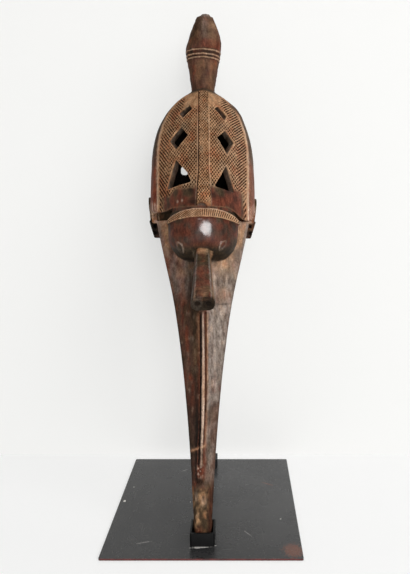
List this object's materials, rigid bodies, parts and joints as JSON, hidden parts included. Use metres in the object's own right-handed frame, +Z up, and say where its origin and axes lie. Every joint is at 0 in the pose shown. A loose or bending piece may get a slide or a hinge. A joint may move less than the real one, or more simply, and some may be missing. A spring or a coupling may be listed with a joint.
{
  "type": "carved wooden crest mask on a steel stand",
  "caption": "Tall carved wooden crest mask with an openwork hood, domed face, tube nose and long beak, standing on its tip on a square steel base.",
  "frame": {"origin": "centre of the base plate's underside", "axes": "+Z up, -Y towards the viewer of the mask's face, +X to that viewer's right"},
  "size_m": [0.4, 0.4, 1.084],
  "materials": {
    "carved_wood": "dark oiled patina, glossy on the dome and rims, tan and dry on the openwork",
    "black_steel": "satin black, scuffed, with a red edge on the plate"
  },
  "bodies": {
    "root": {"mask": "carved_wood", "base_plate": "black_steel", "tip_socket": "black_steel", "rod_foot": "black_steel", "support_rod": "black_steel"}
  },
  "joints": []
}
